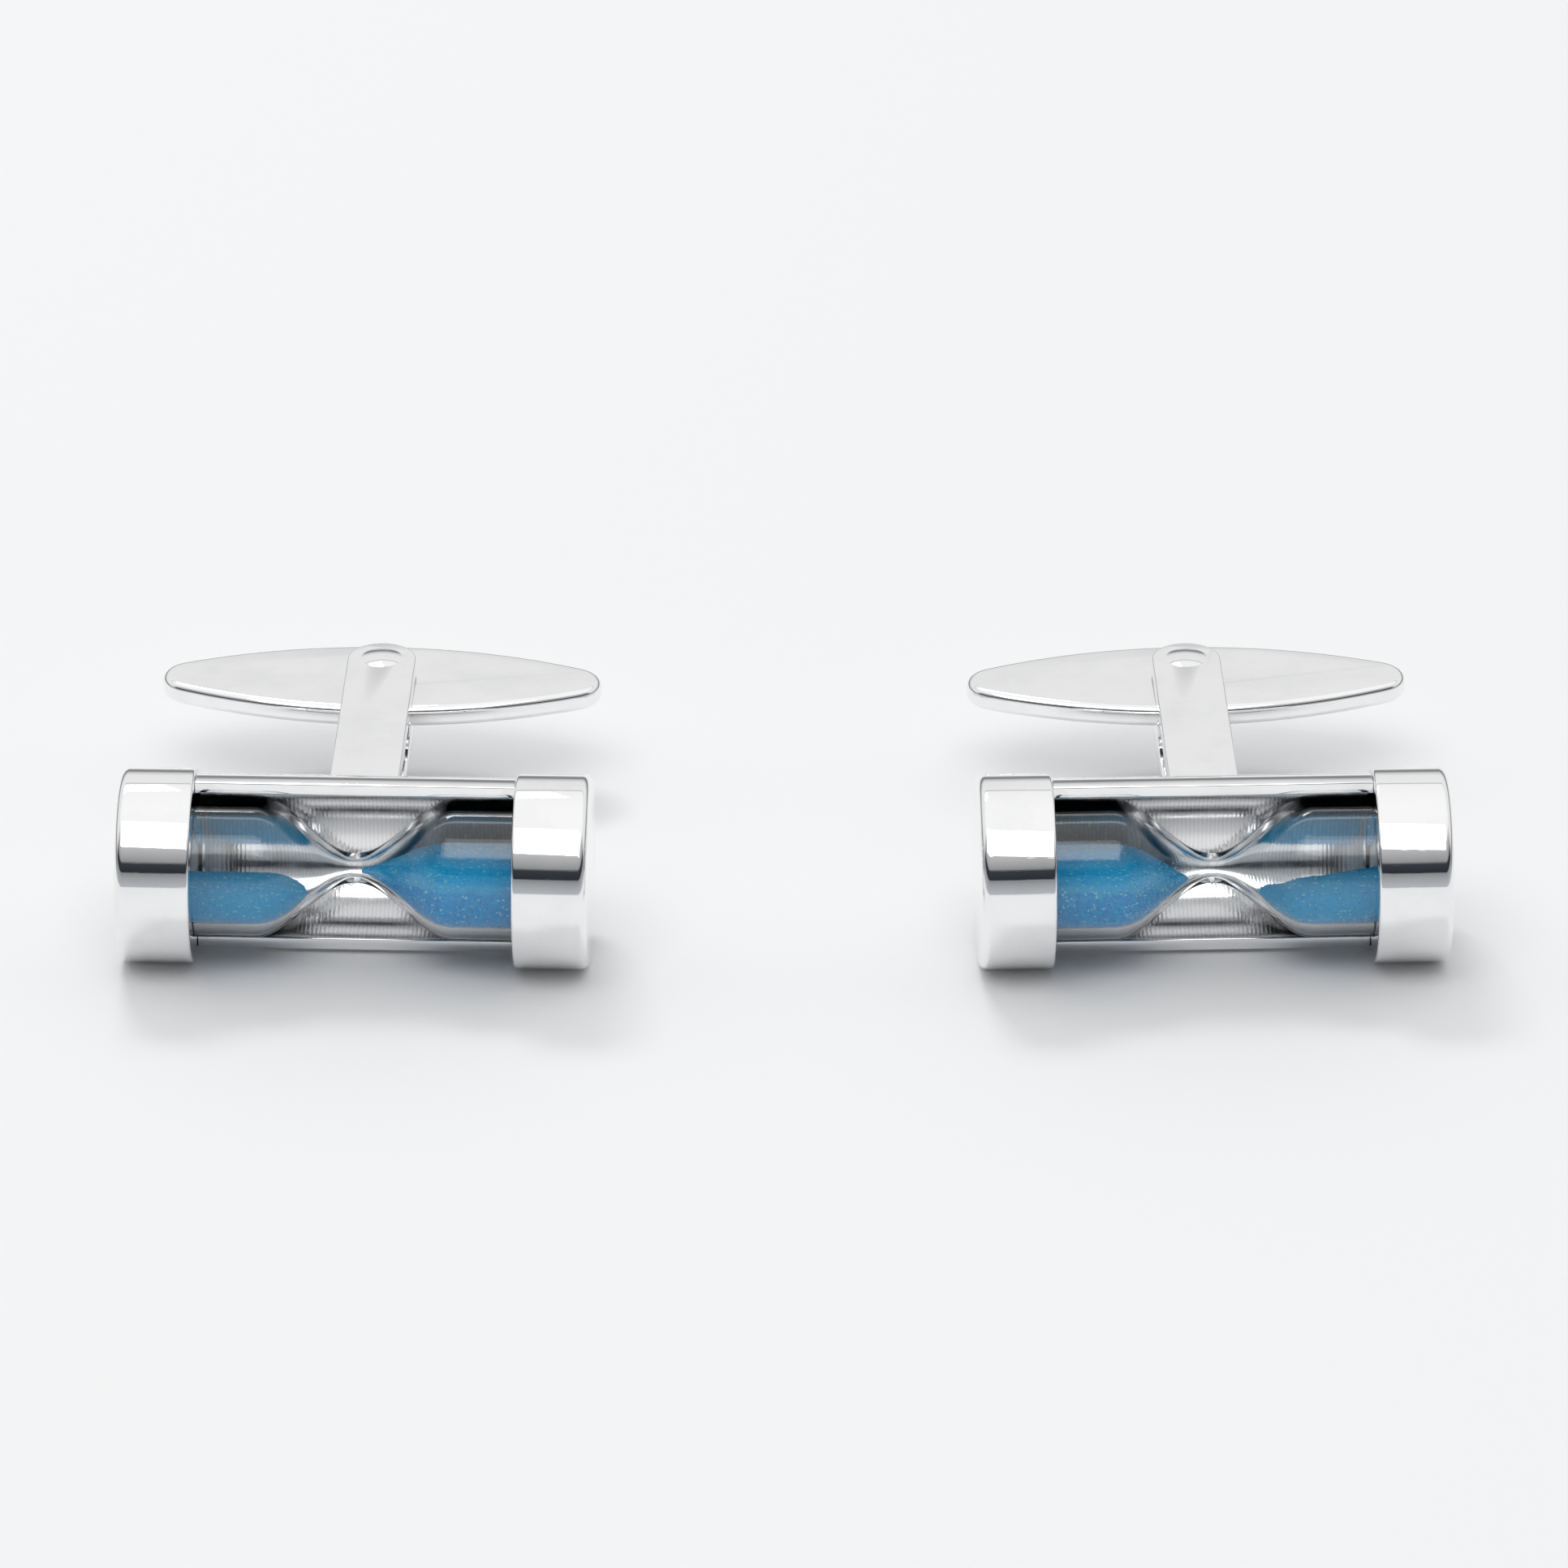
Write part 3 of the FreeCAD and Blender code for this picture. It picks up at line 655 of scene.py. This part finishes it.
def make_blue_sand(name, dark, light, flake_share):
    """Blue sand: grains of slightly different blue, a few of them pale glassy flakes; faces that point up are
    painted a paler blue, a painted highlight of light from above.
    """
    material, nodes, links = new_material(name)
    shader = nodes["Principled BSDF"]
    shader.inputs["Specular IOR Level"].default_value = 0.25
    place = nodes.new("ShaderNodeTexCoord")
    grains = nodes.new("ShaderNodeTexVoronoi")
    grains.inputs["Scale"].default_value = 11000
    links.new(place.outputs["Object"], grains.inputs["Vector"])
    pick = nodes.new("ShaderNodeSeparateColor")
    links.new(grains.outputs["Color"], pick.inputs["Color"])
    shade = nodes.new("ShaderNodeMix")
    shade.data_type = "RGBA"
    shade.inputs["A"].default_value = (*dark, 1)
    shade.inputs["B"].default_value = (*light, 1)
    links.new(pick.outputs["Red"], shade.inputs["Factor"])
    flake = nodes.new("ShaderNodeMapRange")
    flake.inputs["From Min"].default_value = 1 - flake_share
    flake.inputs["From Max"].default_value = 1 - flake_share / 2
    links.new(pick.outputs["Green"], flake.inputs["Value"])
    glitter = nodes.new("ShaderNodeMix")
    glitter.data_type = "RGBA"
    glitter.inputs["B"].default_value = (0.22, 0.78, 1.0, 1)
    links.new(flake.outputs["Result"], glitter.inputs["Factor"])
    # Painted light: faces that point upwards are mixed towards a paler blue, a painted highlight of the light from
    # above.
    facing = nodes.new("ShaderNodeNewGeometry")
    upward = nodes.new("ShaderNodeSeparateXYZ")
    links.new(facing.outputs["Normal"], upward.inputs["Vector"])
    lit_top_share = nodes.new("ShaderNodeMapRange")
    lit_top_share.inputs["From Min"].default_value = 0.5
    lit_top_share.inputs["From Max"].default_value = 0.95
    lit_top_share.inputs["To Max"].default_value = 0.75
    links.new(upward.outputs["Z"], lit_top_share.inputs["Value"])
    painted_top_light = nodes.new("ShaderNodeMix")
    painted_top_light.data_type = "RGBA"
    painted_top_light.inputs["B"].default_value = (0.03, 0.57, 1.0, 1)
    links.new(lit_top_share.outputs["Result"], painted_top_light.inputs["Factor"])
    links.new(shade.outputs["Result"], painted_top_light.inputs["A"])
    links.new(painted_top_light.outputs["Result"], glitter.inputs["A"])
    links.new(glitter.outputs["Result"], shader.inputs["Base Color"])
    gloss = nodes.new("ShaderNodeMapRange")
    gloss.inputs["To Min"].default_value = 0.75
    gloss.inputs["To Max"].default_value = 0.2
    links.new(flake.outputs["Result"], gloss.inputs["Value"])
    links.new(gloss.outputs["Result"], shader.inputs["Roughness"])
    raise_surface(nodes, links, grains.outputs["Distance"], strength=0.6, distance=0.03 * MM)
    return material


def make_seal_rubber(wear):
    """Pale silicone of the stoppers."""
    material, nodes, links = new_material("seal_silicone")
    shader = nodes["Principled BSDF"]
    marks = wear_marks(nodes, wear, 0.45, 0.2)
    blend_base_colour(
        nodes, links, marks.outputs["Tint"], (0.72, 0.74, 0.75), (0.60, 0.62, 0.64))
    links.new(marks.outputs["Roughness"], shader.inputs["Roughness"])
    return material


def make_spring_steel(wear):
    """Rolled steel of the friction washers."""
    material, nodes, links = new_material("rolled_spring_steel")
    shader = nodes["Principled BSDF"]
    shader.inputs["Metallic"].default_value = 1.0
    marks = wear_marks(nodes, wear, 0.28, 0.15)
    blend_base_colour(
        nodes, links, marks.outputs["Tint"], (0.56, 0.56, 0.57), (0.42, 0.42, 0.43))
    links.new(marks.outputs["Roughness"], shader.inputs["Roughness"])
    return material


def paint(piece, material):
    piece.data.materials.clear()
    piece.data.materials.append(material)


# ---- building the pair ----

# Heights of each sand surface above the case axis, from the neck to the cap.
SAND_SURFACES = {
    ("left", "outer"): [(0, -1.1 * MM), (3.0 * MM, -1.25 * MM), (VIAL_HALF, -1.2 * MM)],
    ("left", "inner"): [(0, -0.1 * MM), (1.4 * MM, 0.05 * MM), (3.2 * MM, 0.17 * MM),
                        (VIAL_HALF, 0.14 * MM)],
    ("right", "outer"): [(0, -1.0 * MM), (1.8 * MM, -1.1 * MM), (3.2 * MM, -1.5 * MM),
                         (VIAL_HALF, -0.95 * MM)],
    ("right", "inner"): [(0, -0.5 * MM), (1.6 * MM, -0.42 * MM), (3.4 * MM, 0.08 * MM),
                         (VIAL_HALF, 0.34 * MM)],
}

# Patches of glass that sand clings to: lowest and highest corners, X counted towards the cap.
DUSTED_GLASS = {
    ("right", "inner"): ((1.2 * MM, -CHAMBER_RADIUS, -1.1 * MM), (3.6 * MM, 0, 0.75 * MM)),
}

plating_wear = make_plating_wear()
polished = make_polished_plate(plating_wear)
glass = make_clear_glass()
sand_colour = make_blue_sand("azure_sand", (0.0, 0.34, 0.90), (0.0, 0.55, 1.0), 0.07)
dust_colour = make_blue_sand("azure_sand_dust", (0.16, 0.66, 1.0), (0.34, 0.84, 1.0), 0.2)
grains = make_grain_scatter()
silicone = make_seal_rubber(plating_wear)
spring_steel = make_spring_steel(plating_wear)

for side, sign in SIDES.items():
    toe = PLACES[side].to_euler().z
    milled = make_milled_plate(plating_wear, f"{side}_bored_plating", toe)
    paint_cradle(make_cradle(side), side, milled, polished)
    paint(make_vial(side), glass)
    paint(make_post(side), polished)
    paint(make_pin(side), polished)
    paint(make_toggle(side), polished)
    for end_name, end in (("outer", sign), ("inner", -sign)):
        paint(make_cap(side, end_name, end), polished)
        surface = SAND_SURFACES[side, end_name]
        paint(make_sand(side, end_name, end, surface, grains), sand_colour)
        if (side, end_name) in DUSTED_GLASS:
            low, high = DUSTED_GLASS[side, end_name]
            paint(make_dust(side, end_name, end, low, high, grains), dust_colour)
        paint(frame["nodes"][f"{side}_{end_name}_plug"], silicone)
    paint(frame["nodes"][f"{side}_friction_washer"], spring_steel)


# ---- floor, light and camera ----

CENTRE = (Vector(CAD_BOX[0]) + Vector(CAD_BOX[1])) / 2


def make_floor():
    deselect()
    bpy.ops.mesh.primitive_plane_add(size=4, location=(0, 0, 0))
    floor = bpy.context.object
    floor.name = "pale_floor"
    material, nodes, _ = new_material("pale_floor")
    shader = nodes["Principled BSDF"]
    shader.inputs["Base Color"].default_value = (0.80, 0.805, 0.81, 1)
    shader.inputs["Roughness"].default_value = 0.75
    paint(floor, material)


def add_softbox(name, location, target, size, power):
    light = bpy.data.lights.new(name, "AREA")
    light.shape = "RECTANGLE"
    light.size, light.size_y = size
    light.energy = power
    lamp = bpy.data.objects.new(name, light)
    bpy.context.scene.collection.objects.link(lamp)
    lamp.location = location
    lamp.rotation_euler = (Vector(target) - Vector(location)).to_track_quat("-Z", "Y").to_euler()
    return lamp


# Shades of the light tent by elevation in degrees: open towards the table's front, closed behind.
TENT_FRONT = [
    (0, (0.56, 0.58, 0.61)),
    (10, (0.42, 0.435, 0.455)),
    (16, (0.30, 0.31, 0.325)),
    (17, (0.03, 0.035, 0.045)),
    (27, (0.05, 0.055, 0.065)),
    (30, (0.36, 0.365, 0.37)),
    (48, (0.66, 0.66, 0.67)),
    (49, (0.14, 0.14, 0.15)),
    (50.5, (1.10, 1.10, 1.10)),
    (90, (1.18, 1.18, 1.18)),
]
TENT_BACK = [
    (0, (0.42, 0.43, 0.45)),
    (9, (0.24, 0.245, 0.255)),
    (12, (0.62, 0.625, 0.63)),
    (21, (0.98, 0.98, 0.985)),
    (40, (1.02, 1.02, 1.02)),
    (41, (0.45, 0.45, 0.46)),
    (42.5, (1.10, 1.10, 1.10)),
    (90, (1.18, 1.18, 1.18)),
]
TENT_STRENGTH = 0.84


def tent_shades(nodes, links, height, name, shades):
    """A colour ramp over the sine of the elevation."""
    ramp = nodes.new("ShaderNodeValToRGB")
    ramp.name = name
    stops = ramp.color_ramp.elements
    stops.remove(stops[1])
    stops[0].position = math.sin(math.radians(shades[0][0]))
    stops[0].color = (*shades[0][1], 1)
    for elevation, shade in shades[1:]:
        stops.new(math.sin(math.radians(elevation))).color = (*shade, 1)
    links.new(height, ramp.inputs["Fac"])
    return ramp.outputs["Color"]


def make_studio_world():
    """White light tent, bright all round but for the opening in front."""
    world = bpy.data.worlds.new("studio")
    world.use_nodes = True
    bpy.context.scene.world = world
    nodes, links = world.node_tree.nodes, world.node_tree.links
    place = nodes.new("ShaderNodeTexCoord")
    split = nodes.new("ShaderNodeSeparateXYZ")
    links.new(place.outputs["Generated"], split.inputs["Vector"])
    forward = nodes.new("ShaderNodeMapRange")
    forward.interpolation_type = "SMOOTHSTEP"
    forward.inputs["From Min"].default_value = 0.0
    forward.inputs["From Max"].default_value = -0.35
    links.new(split.outputs["Y"], forward.inputs["Value"])
    tent = nodes.new("ShaderNodeMix")
    tent.data_type = "RGBA"
    links.new(forward.outputs["Result"], tent.inputs["Factor"])
    links.new(tent_shades(nodes, links, split.outputs["Z"], "back", TENT_BACK), tent.inputs["A"])
    links.new(tent_shades(nodes, links, split.outputs["Z"], "front", TENT_FRONT), tent.inputs["B"])
    links.new(tent.outputs["Result"], nodes["Background"].inputs["Color"])
    nodes["Background"].inputs["Strength"].default_value = TENT_STRENGTH


make_floor()
make_studio_world()
add_softbox("back_softbox", (-0.10, 0.32, 0.42), CENTRE, (0.16, 0.10), 0.65)
add_softbox("front_softbox", (-0.05, -0.26, 0.48), CENTRE, (0.46, 0.30), 0.8)

VIEW_ELEVATION = math.radians(26.7)
VIEW_DISTANCE = 0.545
FILL = 0.84
camera_data = bpy.data.cameras.new("camera")
camera_data.sensor_width = 36
pair_width = CAD_BOX[1][0] - CAD_BOX[0][0]
camera_data.lens = camera_data.sensor_width * VIEW_DISTANCE * FILL / pair_width
camera = bpy.data.objects.new("camera", camera_data)
bpy.context.scene.collection.objects.link(camera)
backwards = Vector((0, -math.cos(VIEW_ELEVATION), math.sin(VIEW_ELEVATION)))
camera.location = CENTRE + backwards * VIEW_DISTANCE
camera.rotation_euler = (CENTRE - camera.location).to_track_quat("-Z", "Y").to_euler()
camera_data.clip_start = 0.01
camera_data.clip_end = 20
bpy.context.scene.camera = camera
bpy.context.scene.view_settings.view_transform = "Standard"
